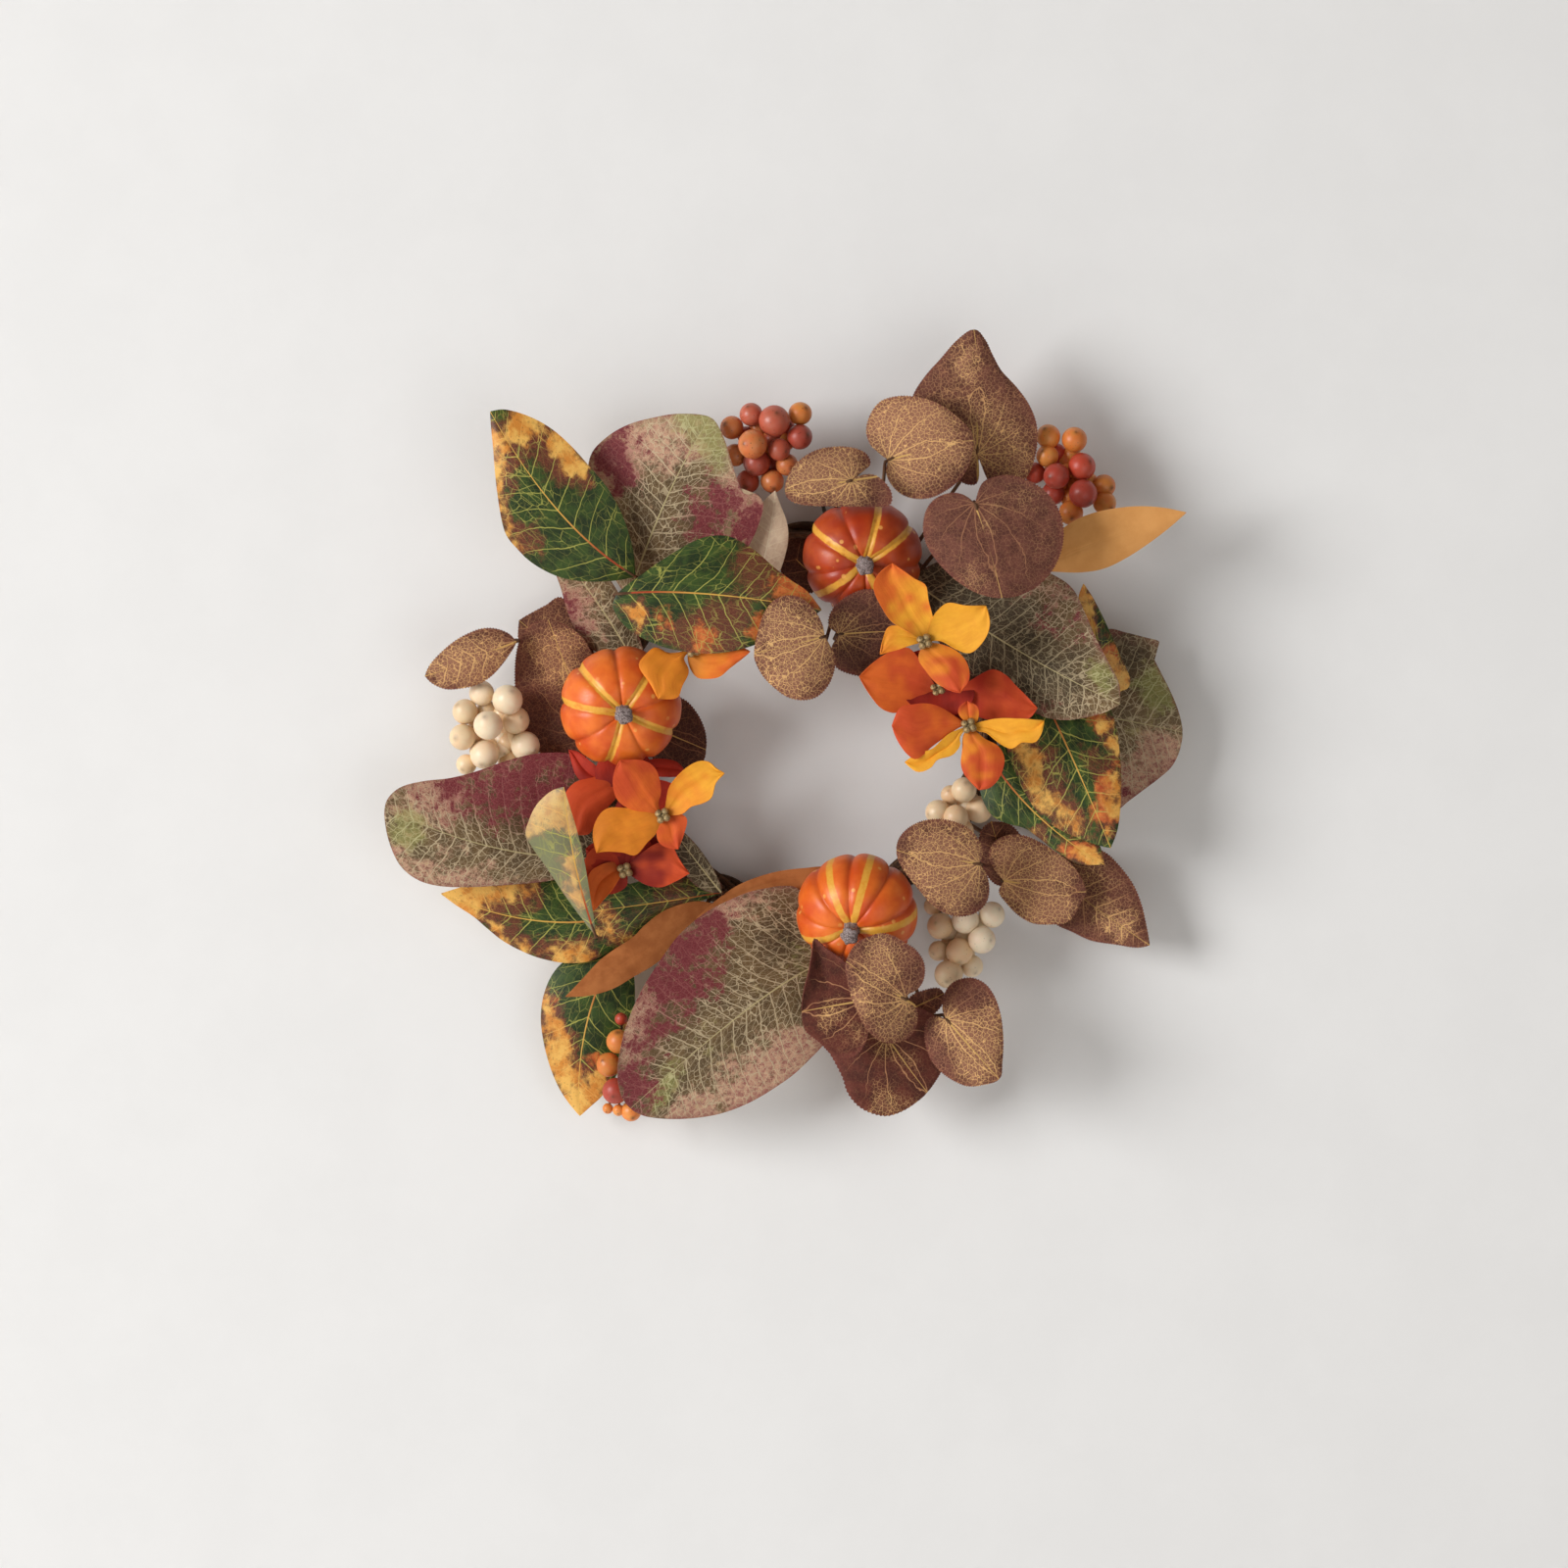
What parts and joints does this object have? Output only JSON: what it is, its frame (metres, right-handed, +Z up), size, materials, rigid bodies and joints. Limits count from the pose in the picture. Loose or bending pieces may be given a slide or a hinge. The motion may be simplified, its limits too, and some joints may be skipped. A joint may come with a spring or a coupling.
{
  "type": "harvest door wreath",
  "caption": "Round autumn door wreath: twig ring with wired cloth leaves, berry picks, small pumpkins and cloth florets, hung from a wire loop.",
  "frame": {"origin": "on the ring's flat back (the door plane), at the top of the ring", "axes": "+Z up as hung, +X to the right seen from the front, the front faces -Y"},
  "size_m": [0.3257, 0.0697, 0.322],
  "materials": {
    "magnolia_cloth": "printed cloth, matt",
    "magnolia_underside": "plain cloth back",
    "croton_cloth": "printed cloth, satin",
    "tan_cloth": "plain cloth back",
    "eucalyptus_cloth": "printed cloth, matt",
    "petal_cloth": "dyed cloth",
    "cream_berry": "glossy foam berry",
    "orange_berry": "glossy foam berry",
    "pumpkin_skin": "glossy painted foam",
    "pumpkin_stem": "speckled",
    "twig": "bare twisted twig",
    "hanger_wire": "dark wire",
    "taped_wire": "wire wrapped in floral tape"
  },
  "bodies": {
    "wreath": {"base_ring": "twig", "berry_cluster_bottom": "orange_berry", "berry_cluster_left": "cream_berry", "berry_cluster_lower_right": "cream_berry", "berry_cluster_right": "cream_berry", "berry_cluster_top_left": "orange_berry", "berry_cluster_top_right": "orange_berry", "croton_leaf_left": "croton_cloth", "croton_leaf_left_curled": "croton_cloth", "croton_leaf_lower_inner": "croton_cloth", "croton_leaf_right_back": "croton_cloth", "croton_leaf_right_edge": "croton_cloth", "croton_leaf_right_front": "croton_cloth", "croton_leaf_top_inner": "croton_cloth", "eucalyptus_leaf_bottom": "eucalyptus_cloth", "eucalyptus_leaf_bottom_front": "eucalyptus_cloth", "eucalyptus_leaf_inner_left": "eucalyptus_cloth", "eucalyptus_leaf_inner_right": "eucalyptus_cloth", "eucalyptus_leaf_left": "eucalyptus_cloth", "eucalyptus_leaf_low_pointed": "eucalyptus_cloth", "eucalyptus_leaf_right": "eucalyptus_cloth", "floret_left_back": "petal_cloth", "floret_left_front": "petal_cloth", "floret_left_low": "petal_cloth", "floret_left_top": "petal_cloth", "floret_right_back": "petal_cloth", "floret_right_front": "petal_cloth", "floret_right_top": "petal_cloth", "magnolia_leaf_bottom": "magnolia_cloth", "magnolia_leaf_centre": "magnolia_cloth", "magnolia_leaf_inner": "magnolia_cloth", "magnolia_leaf_left": "magnolia_cloth", "magnolia_leaf_small": "magnolia_cloth", "magnolia_leaf_top": "magnolia_cloth", "magnolia_leaf_top_back": "magnolia_underside", "pumpkin_bottom": "pumpkin_skin", "pumpkin_bottom_stem": "pumpkin_stem", "pumpkin_left": "pumpkin_skin", "pumpkin_left_stem": "pumpkin_stem", "pumpkin_top": "pumpkin_skin", "pumpkin_top_stem": "pumpkin_stem", "stem_bundle_left": "taped_wire", "stem_bundle_right": "taped_wire", "stem_bundle_top": "taped_wire", "tan_leaf_bottom": "tan_cloth", "tan_leaf_lower_left": "tan_cloth"},
    "hanger": {"hanger_loop": "hanger_wire"},
    "croton_leaf_top_left_pick": {"croton_leaf_top_left": "croton_cloth"},
    "eucalyptus_leaf_far_left_pick": {"eucalyptus_leaf_far_left": "eucalyptus_cloth"},
    "tan_leaf_right_pick": {"tan_leaf_right": "tan_cloth"},
    "eucalyptus_leaf_inner_pick": {"eucalyptus_leaf_inner": "eucalyptus_cloth"},
    "eucalyptus_leaf_bottom_right_pick": {"eucalyptus_leaf_bottom_right": "eucalyptus_cloth"},
    "eucalyptus_leaf_low_right_pick": {"eucalyptus_leaf_low_right": "eucalyptus_cloth"},
    "croton_leaf_bottom_pick": {"croton_leaf_bottom": "croton_cloth"},
    "eucalyptus_leaf_lower_right_pick": {"eucalyptus_leaf_lower_right": "eucalyptus_cloth"},
    "eucalyptus_leaf_top_left_pick": {"eucalyptus_leaf_top_left": "eucalyptus_cloth"},
    "eucalyptus_leaf_top_front_pick": {"eucalyptus_leaf_top_front": "eucalyptus_cloth"},
    "magnolia_leaf_right_pick": {"magnolia_leaf_right": "magnolia_cloth"},
    "eucalyptus_leaf_top_pick": {"eucalyptus_leaf_top": "eucalyptus_cloth"},
    "eucalyptus_leaf_top_small_pick": {"eucalyptus_leaf_top_small": "eucalyptus_cloth"}
  },
  "joints": [
    {"name": "hanger_swing", "type": "hinge", "parent": "wreath", "child": "hanger", "pos_m": [0.01281, -0.006, -0.00109], "axis": [1, 0, 0], "range_deg": [-4, 40]},
    {"name": "croton_top_left_bend", "type": "hinge", "parent": "wreath", "child": "croton_leaf_top_left_pick", "pos_m": [-0.06897, -0.04263, -0.01606], "axis": [0.7506, 0, 0.6607], "range_deg": [-10, 12], "stiffness_Nm_per_rad": 0.002},
    {"name": "eucalyptus_far_left_bend", "type": "hinge", "parent": "wreath", "child": "eucalyptus_leaf_far_left_pick", "pos_m": [-0.11641, -0.03233, -0.04459], "axis": [-0.3522, 0, 0.9359], "range_deg": [-8, 22], "stiffness_Nm_per_rad": 0.002},
    {"name": "tan_right_bend", "type": "hinge", "parent": "wreath", "child": "tan_leaf_right_pick", "pos_m": [0.09456, -0.04431, -0.01487], "axis": [0.3486, 0, -0.9373], "range_deg": [-15, 16], "stiffness_Nm_per_rad": 0.002},
    {"name": "eucalyptus_inner_bend", "type": "hinge", "parent": "wreath", "child": "eucalyptus_leaf_inner_pick", "pos_m": [0.00942, -0.06634, -0.0427], "axis": [-0.2329, 0, 0.9725], "range_deg": [-5, 20], "stiffness_Nm_per_rad": 0.002},
    {"name": "eucalyptus_bottom_right_bend", "type": "hinge", "parent": "wreath", "child": "eucalyptus_leaf_bottom_right_pick", "pos_m": [0.06088, -0.05049, -0.19862], "axis": [-0.7495, 0, -0.662], "range_deg": [-18, 8], "stiffness_Nm_per_rad": 0.002},
    {"name": "eucalyptus_low_right_bend", "type": "hinge", "parent": "wreath", "child": "eucalyptus_leaf_low_right_pick", "pos_m": [0.1013, -0.01654, -0.13769], "axis": [-0.5833, 0, -0.8122], "range_deg": [-15, 6], "stiffness_Nm_per_rad": 0.002},
    {"name": "croton_bottom_bend", "type": "hinge", "parent": "wreath", "child": "croton_leaf_bottom_pick", "pos_m": [-0.07545, -0.01731, -0.17029], "axis": [-0.9763, 0, 0.2163], "range_deg": [-8, 4], "stiffness_Nm_per_rad": 0.002},
    {"name": "eucalyptus_lower_right_bend", "type": "hinge", "parent": "wreath", "child": "eucalyptus_leaf_lower_right_pick", "pos_m": [0.07186, -0.05271, -0.13436], "axis": [0.1644, 0, 0.9864], "range_deg": [-12, 20], "stiffness_Nm_per_rad": 0.002},
    {"name": "eucalyptus_top_left_bend", "type": "hinge", "parent": "wreath", "child": "eucalyptus_leaf_top_left_pick", "pos_m": [0.03771, -0.04847, 0.03018], "axis": [0.2157, 0, -0.9765], "range_deg": [-10, 12], "stiffness_Nm_per_rad": 0.002},
    {"name": "eucalyptus_top_front_bend", "type": "hinge", "parent": "wreath", "child": "eucalyptus_leaf_top_front_pick", "pos_m": [0.0716, -0.06447, 0.01008], "axis": [-0.9619, 0, -0.2734], "range_deg": [-8, 20], "stiffness_Nm_per_rad": 0.002},
    {"name": "magnolia_right_bend", "type": "hinge", "parent": "wreath", "child": "magnolia_leaf_right_pick", "pos_m": [0.11054, -0.0202, -0.07194], "axis": [-0.1853, 0, -0.9827], "range_deg": [-12, 15], "stiffness_Nm_per_rad": 0.002},
    {"name": "eucalyptus_top_bend", "type": "hinge", "parent": "wreath", "child": "eucalyptus_leaf_top_pick", "pos_m": [0.07298, -0.03715, 0.03483], "axis": [0.9995, 0, 0.032], "range_deg": [-10, 8], "stiffness_Nm_per_rad": 0.002},
    {"name": "eucalyptus_top_small_bend", "type": "hinge", "parent": "wreath", "child": "eucalyptus_leaf_top_small_pick", "pos_m": [0.02022, -0.06022, 0.02053], "axis": [-0.162, 0, 0.9868], "range_deg": [-10, 15], "stiffness_Nm_per_rad": 0.002}
  ]
}
